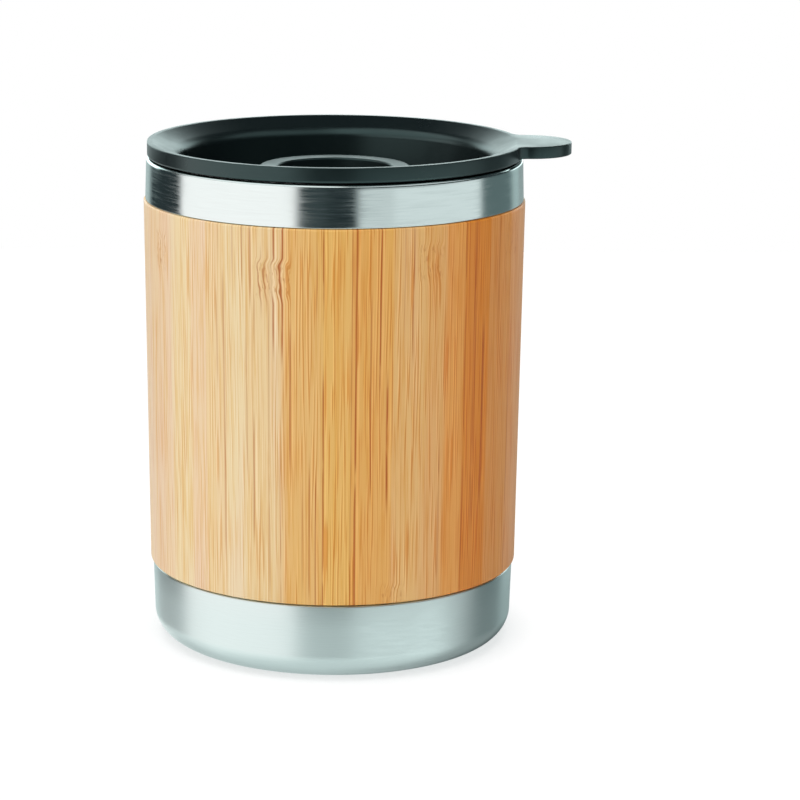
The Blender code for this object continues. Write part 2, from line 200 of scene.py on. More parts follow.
def length(name, description, default):
    """Property for a size in metres."""
    return FloatProperty(name=name, description=description, default=default, min=0.0, precision=5,
                         unit="LENGTH")


def colour(name, description, default):
    """Property for a colour in linear light."""
    return FloatVectorProperty(name=name, description=description, default=default, size=3, min=0.0,
                               max=1.0, subtype="COLOR")


def amount(name, description, default):
    """Property for a plain number."""
    return FloatProperty(name=name, description=description, default=default, min=0.0)


class TUMBLER_PG_steel(bpy.types.PropertyGroup):
    """Steel shell, liner, bottom plate and base cap."""
    around: IntProperty(name="Segments", description="Columns round a turned piece", default=224, min=24)
    sheet: length("Sheet", "Thickness of the sheet metal", 0.0006)
    band_draft: length("Band draft", "Narrowing of the band towards the lip", 0.00025)
    band_edge: length("Band edge", "Rounding of the band's lower edge", 0.00015)
    hem: length("Band hem", "Drop of the band's edge towards the sleeve", 0.0002)
    lip_round: length("Lip rounding", "Rounding of the cup's outer lip", 0.0006)
    space_high: length("Wall space, top", "Space between the two walls at the shoulder", 0.0008)
    space_low: length("Wall space, base", "Space between the two walls at the base", 0.0024)
    liner_corner: length("Liner corner", "Rounding of the drinking cup's floor", 0.0070)
    base_draft: length("Base draft", "Narrowing of the base towards the foot", 0.0003)
    base_edge: length("Base edge", "Rounding of the base's upper edge", 0.0004)
    foot_fillet: length("Foot rounding", "Rounding of the foot", 0.0055)
    polished: colour("Polished steel", "Tint of the band", (0.60, 0.69, 0.68))
    drawn: colour("Drawn steel", "Tint of the liner and the bottom plate", (0.60, 0.64, 0.635))
    satin: colour("Satin steel", "Tint of the base", (0.60, 0.69, 0.68))


class TUMBLER_PG_sleeve(bpy.types.PropertyGroup):
    """Bamboo sleeve."""
    foot_radius: length("Foot radius", "Outer radius at the sleeve's foot", 0.0391)
    wall: length("Wall", "Thickness of the bamboo", 0.0018)
    edge: length("Edge", "Rounding of the outer edges", 0.0004)
    cream: colour("Cream", "Palest strips", (0.80, 0.635, 0.41))
    biscuit: colour("Biscuit", "Pale brown strips", (0.785, 0.585, 0.345))
    blush: colour("Blush", "Pinkish strips", (0.79, 0.59, 0.405))
    straw: colour("Straw", "Yellow strips", (0.765, 0.462, 0.160))
    maize: colour("Maize", "Deep yellow strips", (0.78, 0.46, 0.137))
    honey: colour("Honey", "Golden brown strips", (0.755, 0.398, 0.108))
    tan: colour("Tan", "Greyish brown strips", (0.76, 0.452, 0.186))
    sand: colour("Sand", "Dull yellow strips", (0.735, 0.395, 0.142))
    amber: colour("Amber", "Orange brown strips", (0.745, 0.33, 0.082))
    russet: colour("Russet", "Darkest strips", (0.67, 0.232, 0.028))
    umber: colour("Umber", "Brown strips", (0.67, 0.282, 0.070))
    # Its pinkish cast is partly the strip's own tone and partly painted sheen, the white gloss that grazes
    # it where the sleeve turns away on the right
    clay_with_sheen: colour("Clay", "Pale brown strips", (0.70, 0.32, 0.122))
    fibre: colour("Fibre", "What a dark fibre leaves of the strip's tone", (0.64, 0.33, 0.19))
    stain: colour("Stain", "What a faint vein leaves of the strip's tone", (0.85, 0.63, 0.40))


class TUMBLER_PG_lid(bpy.types.PropertyGroup):
    """Lid with its thumb tab, and the seal round its plug."""
    rim_round: length("Rim rounding", "Rounding of the rim's upper edge", 0.0002)
    rim_flat: length("Rim flat", "Width of the flat ring on the rim's top", 0.0009)
    rim_edge: length("Rim edge", "Rounding of the rim's lower edge", 0.0004)
    funnel_drop: length("Funnel drop", "How far the funnel falls from the crest", 0.0016)
    shoulder: length("Shoulder rounding", "Rounding from the funnel into the dish", 0.0026)
    wall: length("Wall", "Thickness of the plug's wall", 0.0019)
    floor: length("Floor", "Thickness of the dish floor", 0.0016)
    dish_depth: length("Dish depth", "Depth of the dish below the crest", 0.01118)
    dish_draft: length("Dish draft", "Narrowing of the dish towards its floor", 0.0008)
    dish_fillet: length("Dish fillet", "Rounding round the dish floor", 0.0015)
    seal_space: length("Seal space", "Space between the plug and the bore", 0.0018)
    groove: length("Groove", "Depth of the seal's groove", 0.0007)
    seal_lip: length("Seal lip", "Thickness of each seal lip", 0.0008)
    tab_lobe: length("Tab lobe", "Radius of the thumb tab's end", 0.0090)
    tab_fillet: length("Tab fillet", "Rounding between the tab and the rim", 0.0025)
    tab_thickness: length("Tab thickness", "Thickness of the thumb tab", 0.0025)
    tab_drop: length("Tab drop", "How far the tab's top lies below the crest", 0.00005)
    tab_edge: length("Tab edge", "Rounding of the tab's edges", 0.0002)
    plastic: colour("Plastic", "Moulded lid and closure", (0.0035, 0.0055, 0.0060))
    silicone: colour("Silicone", "Seal ring", (0.035, 0.042, 0.044))


class TUMBLER_PG_closure(bpy.types.PropertyGroup):
    """Turning closure of the sip slot."""
    disc: length("Disc", "Thickness of the closure's disc", 0.0014)
    ring_radius: length("Ring radius", "Outer radius of the raised ring", 0.0158)
    ring_wall: length("Ring wall", "Width of the ring's top", 0.0036)
    ring_dip: length("Ring dip", "Drop of the ring's inner edge", 0.00015)
    ring_edge: length("Ring edge", "Rounding of the ring's edges", 0.0004)
    bar_width: length("Finger bar", "Width of the finger bar", 0.0030)
    bar_drop: length("Finger bar drop", "How far the bar lies below the ring", 0.0020)
    stem: length("Stem radius", "Radius of the snap stem", 0.0040)
    head: length("Head reach", "Reach of the snap head past the stem", 0.0012)
    snap_slot: length("Snap slot", "Width of the cut that splits the stem", 0.0012)
    sip_width: length("Sip slot width", "Width of the sip slot", 0.0070)
    sip_length: length("Sip slot length", "Length of the sip slot", 0.0140)


class TUMBLER_PG_stage(bpy.types.PropertyGroup):
    """Floor, studio light and camera."""
    floor_half: length("Floor half width", "Half the floor's width", 0.45)
    key: amount("Left softbox", "Radiance of the large softbox at the left", 1.42)
    fill: amount("Right softbox", "Radiance of the softbox at the right", 1.00)
    back: amount("Back light", "Radiance of the lit wall behind", 2.06)
    high: amount("High left softbox", "Radiance of the softbox high at the left", 1.20)
    table: amount("Table glow", "Radiance of the lit table that the foot mirrors", 1.05)
    overhead: amount("Overhead lamp", "Power of the wide lamp above the cup, in watts", 9.0)
    side: amount("Side lamp", "Power of the wide lamp in front at the right, in watts", 3.7)
    lens: amount("Lens", "Focal length in millimetres on a 36 mm sensor", 130.83)
    distance: length("Camera distance", "Distance of the camera in front of the axis", 0.6037)
    height: length("Camera height", "Height of the camera above the floor", 0.1934)
    pitch: FloatProperty(name="Pitch", description="How far the camera looks down", default=0.2328,
                         subtype="ANGLE")
    roll: FloatProperty(name="Roll", description="Turn of the camera about its own axis", default=0.0052,
                        subtype="ANGLE")
    shift: FloatProperty(name="Shift", description="Sideways shift of the picture", default=0.0832)


class TUMBLER_PG_settings(bpy.types.PropertyGroup):
    """All settings of the tumbler."""
    steel: PointerProperty(type=TUMBLER_PG_steel)
    sleeve: PointerProperty(type=TUMBLER_PG_sleeve)
    lid: PointerProperty(type=TUMBLER_PG_lid)
    closure: PointerProperty(type=TUMBLER_PG_closure)
    stage: PointerProperty(type=TUMBLER_PG_stage)


def arc(r, z, radius, start, end, steps=8):
    """Points (r + radius cos a, z + radius sin a) of a profile, a going from start to end in degrees."""
    a = np.radians(np.linspace(start, end, steps + 1))
    return np.stack([r + radius * np.cos(a), z + radius * np.sin(a)], 1)


def rounded(r, z, radius, start, end, steps=8):
    """Quarter arc that rounds the corner at (r, z), from start to end in degrees."""
    a = np.radians([start, end])
    side, rise = round(np.cos(a).sum()), round(np.sin(a).sum())
    return arc(r - side * radius, z - rise * radius, radius, start, end, steps)


def profile(*parts):
    """Joins single points and arcs into one array of (radius, height)."""
    return np.concatenate([np.atleast_2d(np.asarray(part, float)) for part in parts])


def skin(rings, closed):
    """Vertices and faces of a stack of rings that runs down a piece's outer side.

    Quads join ring i to ring i + 1 and column j to column j + 1. A closed stack joins its last ring to
    its first. An open one starts and ends on the axis, with a fan of triangles to a pole at each end.
    """
    count, around = rings.shape[:2]
    j = np.arange(around)
    k = (j + 1) % around
    if closed:
        i = np.arange(count)[:, None] * around
        n = np.roll(i, -1, axis=0)
        quads = np.stack([i + j, n + j, n + k, i + k], -1).reshape(-1, 4)
        return rings.reshape(-1, 3), quads.tolist()
    points = np.vstack([rings[0, :1], rings[1:-1].reshape(-1, 3), rings[-1, :1]])
    i = 1 + np.arange(count - 3)[:, None] * around
    quads = np.stack([i + j, i + around + j, i + around + k, i + k], -1).reshape(-1, 4)
    last = len(points) - 1
    start = np.stack([0 * j, 1 + j, 1 + k], -1)
    end = np.stack([last - around + j, last + 0 * j, last - around + k], -1)
    return points, quads.tolist() + start.tolist() + end.tolist()


def turned(outline, around):
    """Surface of revolution: point (i, j) is (r_i cos a_j, r_i sin a_j, z_i), a_j = 2 pi j / around.

    An outline that starts on the axis also ends there, and any other one closes on itself.
    """
    a = np.arange(around) * (2 * np.pi / around)
    r, z = outline[:, :1], outline[:, 1:]
    rings = np.stack([r * np.cos(a), r * np.sin(a), z + 0 * a], -1)
    return skin(rings, closed=outline[0, 0] > 0)


def prism(outline, low, high):
    """Solid between two heights over a flat outline of (x, y) points that runs anticlockwise."""
    count = len(outline)
    foot = np.column_stack([outline, np.full(count, low)])
    head = np.column_stack([outline, np.full(count, high)])
    j = np.arange(count)
    k = (j + 1) % count
    sides = np.stack([j, k, count + k, count + j], -1).tolist()
    return np.vstack([foot, head]), sides + [j[::-1].tolist(), (count + j).tolist()]


def mesh_object(name, shape, material=None):
    """New object at the origin with a smooth mesh whose corners over 32 degrees stay sharp."""
    old = bpy.data.objects.get(name)
    if old:
        bpy.data.objects.remove(old)
    mesh = bpy.data.meshes.new(name)
    mesh.from_pydata(shape[0].tolist(), [], shape[1])
    if material:
        mesh.materials.append(material)
    obj = bpy.data.objects.new(name, mesh)
    bpy.context.scene.collection.objects.link(obj)
    return smooth(obj)


def smooth(obj):
    """Smooth shading with sharp corners, on a mesh that is whole."""
    mesh = obj.data
    mesh.polygons.foreach_set("use_smooth", np.ones(len(mesh.polygons), bool))
    mesh.set_sharp_from_angle(angle=math.radians(32))
    if mesh.validate():
        raise RuntimeError(obj.name + " has faces that are not valid")
    return obj


def combine(obj, shape, operation):
    """Joins a tool solid to a piece, or cuts it away, and keeps the result as the piece's own mesh."""
    tool = mesh_object("tool", shape)
    modifier = obj.modifiers.new("combine", "BOOLEAN")
    modifier.operation = operation
    modifier.solver = "EXACT"
    modifier.object = tool
    graph = bpy.context.evaluated_depsgraph_get()
    mesh = bpy.data.meshes.new_from_object(obj.evaluated_get(graph))
    obj.modifiers.clear()
    before = obj.data
    obj.data = mesh
    mesh.name = obj.name
    bpy.data.meshes.remove(before)
    bpy.data.objects.remove(tool)
    return smooth(obj)


def dress(obj, body, node):
    """The piece rides on a body and stands for its node, whose own mesh it hides."""
    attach(obj, body)
    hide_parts(node)


def cone(t, z):
    """Outer radius of the sleeve's cone at a height, straight from its foot to its top."""
    rise = (z - SLEEVE_FOOT) / (SLEEVE_TOP - SLEEVE_FOOT)
    return t.sleeve.foot_radius + rise * (SLEEVE_RADIUS - t.sleeve.foot_radius)


def waist(t, z):
    """Outer radius of the steel wall behind the sleeve."""
    return cone(t, z) - t.sleeve.wall - FIT


def liner(t, z):
    """Outer radius of the liner: inside the waist by a space that widens towards the base."""
    rise = (z - BASE_TOP) / (SHOULDER - BASE_TOP)
    space = t.steel.space_low + rise * (t.steel.space_high - t.steel.space_low)
    return waist(t, z) - t.steel.sheet - space


def bore(t, z):
    """Inner radius of the drinking cup."""
    return liner(t, z) - t.steel.sheet


def shell_profile(t):
    """Flange at the mouth, rounded lip, polished band, shoulder and the waist, then back up inside."""
    s = t.steel
    lip = BAND_RADIUS - s.band_draft
    flange = LINER_FLANGE + FIT
    hem = SHOULDER - s.hem
    roll = rounded(lip, LIP_TOP, s.lip_round, 90, 0)
    edge = rounded(BAND_RADIUS, hem, s.band_edge, 0, -90, 6)
    return profile(
        (flange, LIP_TOP), roll, roll[-1] + HOLD_FLAT * (edge[0] - roll[-1]), edge,
        (BAND_RADIUS - s.sheet, hem), (BAND_RADIUS - s.sheet, SHOULDER),
        rounded(waist(t, SHOULDER), SHOULDER, s.sheet, 90, 180, 4),
        (waist(t, SHELL_FOOT), SHELL_FOOT), (waist(t, SHELL_FOOT) - s.sheet, SHELL_FOOT),
        (waist(t, SHOULDER) - s.sheet, SHOULDER + s.sheet), (BAND_RADIUS - s.sheet, SHOULDER + s.sheet),
        (lip - s.sheet, LIP_TOP - s.sheet), (flange, LIP_TOP - s.sheet),
    )


def liner_profile(t):
    """Drinking cup with a rounded floor and a mouth turned out to the seam with the shell."""
    s = t.steel
    centre = LINER_FOOT + s.liner_corner
    middle = liner(t, centre) - s.liner_corner
    return profile(
        (0, LINER_FOOT + s.sheet),
        arc(middle, centre, s.liner_corner - s.sheet, -90, 0, 12),
        rounded(bore(t, LIP_TOP), LIP_TOP, s.sheet, 180, 90, 6),
        (LINER_FLANGE, LIP_TOP), (LINER_FLANGE, LIP_TOP - s.sheet),
        (liner(t, LIP_TOP - s.sheet), LIP_TOP - s.sheet),
        arc(middle, centre, s.liner_corner, 0, -90, 12),
        (0, LINER_FOOT),
    )


def plate_profile(t):
    """Pan that closes the outer wall from below, its rim standing inside the wall."""
    s = t.steel
    corner = s.foot_fillet - PLATE_FOOT
    outer = waist(t, s.foot_fillet) - s.sheet - FIT
    rim = waist(t, PLATE_RIM) - s.sheet - FIT
    return profile(
        (0, PLATE_FOOT + s.sheet),
        arc(outer - corner, s.foot_fillet, corner - s.sheet, -90, 0, 10),
        (rim - s.sheet, PLATE_RIM), (rim, PLATE_RIM),
        arc(outer - corner, s.foot_fillet, corner, 0, -90, 10),
        (0, PLATE_FOOT),
    )


def base_profile(t):
    """Steel cup with the rounded foot, a straight drafted side and an inward rim under the sleeve."""
    s = t.steel
    collar = waist(t, BASE_TOP) + FIT
    low = BASE_RADIUS - s.base_draft
    middle = low - s.foot_fillet
    return profile(
        (0, s.sheet),
        arc(middle, s.foot_fillet, s.foot_fillet - s.sheet, -90, 0, 12),
        (BASE_RADIUS - s.sheet, BASE_TOP - s.sheet), (collar, BASE_TOP - s.sheet), (collar, BASE_TOP),
        rounded(BASE_RADIUS, BASE_TOP, s.base_edge, 90, 0),
        (low + s.base_draft / 2, (BASE_TOP + s.foot_fillet) / 2),
        arc(middle, s.foot_fillet, s.foot_fillet, 0, -90, 20),
        (0.6 * middle, 0), (0, 0),
    )


def sleeve_profile(t):
    """Tapered tube with softened outer edges."""
    edge, wall = t.sleeve.edge, t.sleeve.wall
    high, low = SLEEVE_TOP - edge, SLEEVE_FOOT + edge
    steps = np.linspace(high, low, 14)[1:-1]
    return profile(
        rounded(cone(t, high), SLEEVE_TOP, edge, 90, 0),
        np.stack([cone(t, steps), steps], 1),
        rounded(cone(t, low), SLEEVE_FOOT, edge, 0, -90),
        (cone(t, SLEEVE_FOOT) - wall, SLEEVE_FOOT), (cone(t, SLEEVE_TOP) - wall, SLEEVE_TOP),
    )


def dish_floor(t):
    """Level of the floor of the lid's dish."""
    return LID_TOP - t.lid.dish_depth


def plug_radius(t):
    """Outer radius of the lid's plug."""
    return bore(t, LIP_TOP) - t.lid.seal_space


def crest_radius(t):
    """Radius of the crest, where the funnel meets the flat ring on the rim's top."""
    return RIM_RADIUS - t.lid.rim_round - t.lid.rim_flat


def tab_outline(t):
    """Lid seen from above, anticlockwise from the tab's tip: points and their outward directions.

    A lobe of its own radius is tangent to two fillet arcs, and these to the rim's circle. A fillet's
    centre lies a fillet radius outside both circles.
    """
    lid = t.lid
    lobe_x = TAB_TIP - lid.tab_lobe
    to_axis, to_lobe = RIM_RADIUS + lid.tab_fillet, lid.tab_lobe + lid.tab_fillet
    x = (to_axis ** 2 - to_lobe ** 2 + lobe_x ** 2) / (2 * lobe_x)
    y = math.sqrt(to_axis ** 2 - x ** 2)
    lobe, rim = math.atan2(y, x - lobe_x), math.atan2(y, x)

    def half(centre, radius, start, end, steps, sign):
        """Arc without its last point, and its directions, which a fillet turns round by its sign."""
        a = np.linspace(start, end, steps, endpoint=False)
        out = np.stack([np.cos(a), np.sin(a)], 1)
        return np.column_stack([np.asarray(centre) + radius * out, sign * out])

    upper = np.vstack([
        half((lobe_x, 0), lid.tab_lobe, 0, lobe, 30, 1),
        half((x, y), lid.tab_fillet, lobe - math.pi, rim - math.pi, 12, -1),
        half((0, 0), RIM_RADIUS, rim, math.pi, 100, 1),
    ])
    turn = np.array([[-RIM_RADIUS, 0, -1, 0]])
    lower = upper[:0:-1] * np.array([1, -1, 1, -1])
    whole = np.vstack([upper, turn, lower])
    return whole[:, :2], whole[:, 2:]


def lid_inside(t):
    """Profile from under the rim inwards: plug, groove, skirt, floor, stem hole, dish and funnel."""
    lid = t.lid
    plug = plug_radius(t)
    dish = plug - lid.wall
    floor = dish_floor(t)
    under = floor - lid.floor
    hole = t.closure.stem + FIT
    shoulder_r, shoulder_z = dish + lid.shoulder, LID_TOP - lid.funnel_drop - lid.shoulder
    crest = crest_radius(t)
    slope = math.degrees(math.atan2(lid.funnel_drop, crest - shoulder_r))
    brow = arc(shoulder_r, shoulder_z, lid.shoulder, 180, 90 + slope, 14)
    ramp = brow[-1] + HOLD_FLAT * (np.array([crest, LID_TOP]) - brow[-1])
    return profile(
        rounded(plug, LIP_TOP + FIT, PLUG_ROUND, 90, 180, 5),
        (plug, SEAL_TOP + FIT), (plug - lid.groove, SEAL_TOP + FIT),
        (plug - lid.groove, SEAL_FOOT - FIT), (plug, SEAL_FOOT - FIT),
        rounded(plug, SKIRT_FOOT, PLUG_ROUND, 0, -90, 5),
        rounded(dish, SKIRT_FOOT, SKIRT_ROUND, -90, -180, 4),
        rounded(dish, under, FLOOR_ROUND, 0, 90, 5),
        (hole, under), (hole, floor), (dish / 2, floor),
        rounded(dish - lid.dish_draft, floor, lid.dish_fillet, -90, 0),
        brow, ramp,
    )


def lid_shape(t):
    """Lid as rings that share the outline's angles.

    Inner rings are circles r_i at the angle of each outline point. The rings of the rim's edge are set in
    from the outline along its normal. Where the outline leaves the rim they pass smoothly into the tab's
    own section, by a weight that rises from 0 on the rim to 1 once the outline is TAB_BLEND outside it.
    """
    lid = t.lid
    edge_xy, out = tab_outline(t)
    far = np.hypot(edge_xy[:, 0], edge_xy[:, 1])
    spoke = edge_xy / far[:, None]
    rise = np.clip((far - RIM_RADIUS) / TAB_BLEND, 0, 1)
    weight = (rise * rise * (3 - 2 * rise))[None, :, None]

    def rings(rows, start, way):
        """Rings of points start + d way, for rows of (d, height)."""
        d, z = rows[:, :1, None], rows[:, 1:, None]
        flat = start + d * way
        return np.concatenate([flat, z + 0 * flat[..., :1]], -1)

    def circles(*rows):
        """Circles about the axis, for rows of (radius, height)."""
        return rings(profile(*rows), 0, spoke)

    def inset(*rows):
        """Rings set in from the outline, for rows of (distance, height)."""
        return rings(profile(*rows), edge_xy, -out)

    under = LIP_TOP + FIT
    crest = crest_radius(t)
    top, foot = LID_TOP - lid.tab_drop, LID_TOP - lid.tab_drop - lid.tab_thickness
    e, r = lid.tab_edge, lid.rim_round
    rim_top = rounded(0, LID_TOP, r, 90, 0, 9) * (-1, 1)
    tab_top = rounded(0, top, e, 90, 0, 9) * (-1, 1)
    tab_low = rounded(0, foot, e, 0, -90, 6) * (-1, 1)
    side = np.linspace(foot + SIDE_RISE, under + lid.rim_edge + HAIR, len(tab_low) + 1)
    rim_low = np.column_stack([0 * side, side])
    rim_rows = np.vstack([circles((crest + lid.rim_flat / 4, LID_TOP)), inset(rim_top, rim_low)])
    tab_rows = np.vstack([
        circles((RIM_RADIUS - HAIR, top)), inset(tab_top, tab_low), circles((RIM_RADIUS, foot))])
    edge_rows = rim_rows + weight * (tab_rows - rim_rows)
    low_edge = arc(RIM_RADIUS - lid.rim_edge, under + lid.rim_edge, lid.rim_edge, -16, -90, 5)
    rows = [circles((crest, LID_TOP)), edge_rows, circles(low_edge, lid_inside(t))]
    return skin(np.vstack(rows), closed=True)


def seal_profile(t):
    """Ring in the groove with two rounded lips that reach for the bore."""
    lid = t.lid
    plug = plug_radius(t)
    seat, body, half = plug - lid.groove + FIT, plug + lid.seal_lip, lid.seal_lip / 2
    upper = bore(t, SEAL_TOP - lid.seal_lip) - FIT
    lower = bore(t, SEAL_FOOT) - FIT
    return profile(
        arc(upper - half, SEAL_TOP - half, half, 90, -90, 8),
        rounded(body, SEAL_TOP - lid.seal_lip, SEAL_ROUND, 90, 180, 4),
        rounded(body, SEAL_FOOT + lid.seal_lip, SEAL_ROUND, 180, 270, 4),
        arc(lower - half, SEAL_FOOT + half, half, 90, -90, 8),
        (seat, SEAL_FOOT), (seat, SEAL_TOP),
    )


def closure_profile(t):
    """Disc on the dish floor with a raised ring, and a stem with a snap head below."""
    c = t.closure
    low = dish_floor(t) + FIT
    top = low + c.disc
    inner = c.ring_radius - c.ring_wall
    head = low - FIT - t.lid.floor - FIT
    return profile(
        (0, top), (0.7 * inner, top),
        rounded(inner, top, RING_FOOT, -90, 0, 5),
        rounded(inner, RING_TOP - c.ring_dip, c.ring_edge, 180, 90, 7),
        rounded(c.ring_radius, RING_TOP, c.ring_edge, 90, 0, 7),
        rounded(c.ring_radius, top, RING_FOOT, 180, 270, 5),
        rounded(DISC_RADIUS, top, DISC_EDGE, 90, 0, 5),
        (DISC_RADIUS, low), (c.stem, low), (c.stem, head), (c.stem + c.head, head),
        (c.stem + c.head, head - HEAD_EDGE), (c.stem, HEAD_FOOT), (0, HEAD_FOOT),
    )


def sip_outline(t):
    """Round-ended slot seen from above, across -X between the ring and the dish wall."""
    c = t.closure
    end, middle = c.sip_width / 2, (c.ring_radius + DISC_RADIUS) / 2
    reach = c.sip_length / 2 - end
    return np.vstack([arc(-middle, reach, end, 0, 180, 16), arc(-middle, -reach, end, 180, 360, 16)])


def bar_solid(t):
    """Finger bar: an upright section with a rounded top, carried along X from ring to ring."""
    c = t.closure
    half, high = c.bar_width / 2, RING_TOP - c.bar_drop
    low = dish_floor(t) + FIT + c.disc / 2
    section = np.vstack([
        rounded(half, high, BAR_EDGE, 0, 90, 5), rounded(-half, high, BAR_EDGE, 90, 180, 5),
        [(-half, low), (half, low)],
    ])
    reach = c.ring_radius - c.ring_wall / 2
    points, faces = prism(section, -reach, reach)
    return points[:, [2, 0, 1]], faces


class Value:
    """Output of a shader node, for use in formulas: each step of a formula is a new node in its tree."""

    def __init__(self, tree, socket):
        self.tree = tree
        self.socket = socket

    def calc(self, operation, *others):
        """Math node with this value and others."""
        inputs = dict(enumerate((self, *others)))
        return put(self.tree, "ShaderNodeMath", inputs, operation=operation)[0]

    __add__ = partialmethod(calc, "ADD")
    __sub__ = partialmethod(calc, "SUBTRACT")
    __mul__ = partialmethod(calc, "MULTIPLY")
    __truediv__ = partialmethod(calc, "DIVIDE")
    maximum = partialmethod(calc, "MAXIMUM")

    def smoothstep(self, low, high, to_low=0.0, to_high=1.0):
        """Value that passes smoothly from one level to another between two limits."""
        inputs = {0: self, 1: low, 2: high, 3: to_low, 4: to_high}
        return put(self.tree, "ShaderNodeMapRange", inputs, interpolation_type="SMOOTHSTEP")[0]

    def between(self, low, high, soft):
        """1 between two limits and 0 outside them, each edge as soft as the half width given."""
        below = self.smoothstep(high - soft, high + soft, 1.0, 0.0)
        return self.smoothstep(low - soft, low + soft) * below

    def noise(self, scale=1.0, detail=2.0, roughness=0.5, dimensions="3D"):
        """Noise texture over this vector, about 0.5 in the middle."""
        inputs = {"Vector": self, "Scale": scale, "Detail": detail, "Roughness": roughness}
        return put(self.tree, "ShaderNodeTexNoise", inputs, noise_dimensions=dimensions)[0]

    def mix(self, first, second, mode="MIX"):
        """Mix of two colours with this value as its factor."""
        inputs = {0: self, 6: first, 7: second}
        return put(self.tree, "ShaderNodeMix", inputs, data_type="RGBA", blend_type=mode)[2]

    def blend(self, first, second):
        """Mix of two shaders with this value as its factor."""
        return put(self.tree, "ShaderNodeMixShader", {0: self, 1: first, 2: second})[0]

    def feed(self, node, name):
        """Link to a named input of a node."""
        self.tree.links.new(self.socket, node.inputs[name])

    def bump(self, shader, strength, distance):
        """Link as a height to a shader's normal, through a Bump node."""
        inputs = {"Strength": strength, "Distance": distance, "Height": self}
        put(self.tree, "ShaderNodeBump", inputs)[0].feed(shader, "Normal")


def put(tree, kind, inputs=None, **settings):
    """New node with its own settings and its inputs, linked where they are values.

    Its outputs come back as values, by number and by name.
    """
    made = tree.nodes.new(kind)
    for key, value in settings.items():
        setattr(made, key, value)
    for key, value in (inputs or {}).items():
        if isinstance(value, Value):
            tree.links.new(value.socket, made.inputs[key])
        else:
            made.inputs[key].default_value = value
    outputs = [Value(tree, socket) for socket in made.outputs]
    return {**dict(enumerate(outputs)), **{value.socket.name: value for value in outputs}}


def vector(tree, x, y, z=0.0):
    """Vector of three values."""
    return put(tree, "ShaderNodeCombineXYZ", {"X": x, "Y": y, "Z": z})[0]


def axes(tree, kind="Object"):
    """Texture coordinates of a kind, and their three parts."""
    whole = put(tree, "ShaderNodeTexCoord")[kind]
    parts = put(tree, "ShaderNodeSeparateXYZ", {"Vector": whole})
    return whole, parts["X"], parts["Y"], parts["Z"]


def rays(tree):
    """1 or 0: for rays from the camera, also through a clear surface, and for mirrored rays."""
    path = put(tree, "ShaderNodeLightPath")
    return path["Is Camera Ray"].maximum(path["Is Transmission Ray"]), path["Is Glossy Ray"]


def rgba(tint, share=1.0):
    """Opaque colour: a share of a tint."""
    return (*(share * c for c in tint), 1.0)


def new_material(name, **values):
    """Principled material with constant values set on the shader's own sockets."""
    old = bpy.data.materials.get(name)
    if old:
        bpy.data.materials.remove(old)
    made = bpy.data.materials.new(name)
    made.use_nodes = True
    shader = made.node_tree.nodes["Principled BSDF"]
    for key, value in values.items():
        shader.inputs[key.replace("_", " ")].default_value = value
    return made, made.node_tree, shader


def new_group(name, inputs, outputs):
    """Empty shader node group with float sockets: its tree, its input values and its output node."""
    tree = bpy.data.node_groups.new(name, "ShaderNodeTree")
    for key, value in inputs.items():
        socket = tree.interface.new_socket(key, in_out="INPUT", socket_type="NodeSocketFloat")
        socket.default_value = value
    for key in outputs:
        tree.interface.new_socket(key, in_out="OUTPUT", socket_type="NodeSocketFloat")
    return tree, put(tree, "NodeGroupInput"), tree.nodes.new("NodeGroupOutput")


def brush_group():
    """Brush lines that run round the axis: noise over direction and over height plus radius.

    Lines is a fine streak, Patches a slow cloud, both about 0.5 in the middle.
    """
    if "turned_brush" in bpy.data.node_groups:
        return bpy.data.node_groups["turned_brush"]
    tree, given, out = new_group("turned_brush", {"Around": 6.0, "Across": 6000.0}, ("Lines", "Patches"))
    whole, x, y, z = axes(tree)
    radius = (x * x + y * y).calc("SQRT")
    safe = radius.maximum(HAIR)
    around, across = given["Around"], given["Across"]
    place = vector(tree, x / safe * around, y / safe * around, (z + radius) * across)
    place.noise(detail=3.0, roughness=0.6).feed(out, "Lines")
    whole.noise(scale=55.0, detail=3.0, roughness=0.55).feed(out, "Patches")
    return tree


def grain_group():
    """Moulded grain: a fine spark-eroded texture, and a slow cloud where hands have polished it."""
    if "moulded_grain" in bpy.data.node_groups:
        return bpy.data.node_groups["moulded_grain"]
    tree, given, out = new_group("moulded_grain", {"Scale": 5000.0}, ("Grain", "Rub"))
    whole = axes(tree)[0]
    whole.noise(scale=given["Scale"], roughness=0.6).feed(out, "Grain")
    whole.noise(scale=90.0, detail=3.0, roughness=0.6).feed(out, "Rub")
    return tree


def steel_material(name, tint, roughness, spread, around, across, anisotropic, depth):
    """Steel with turned brush lines, which change its roughness by spread, its tint and its normal."""
    made, tree, shader = new_material(
        name, Metallic=1.0, Anisotropic=anisotropic, Anisotropic_Rotation=0.25)
    brush = put(tree, "ShaderNodeGroup", {"Around": around, "Across": across}, node_tree=brush_group())
    share = brush["Lines"] * 0.75 + brush["Patches"] * 0.25
    bright = rgba([min(1.0, 1.10 * c) for c in tint])
    share.mix(rgba(tint, 0.90), bright).feed(shader, "Base Color")
    share.smoothstep(0.3, 0.7, roughness - spread, roughness + spread).feed(shader, "Roughness")
    brush["Lines"].bump(shader, strength=0.12, distance=depth)
    return made


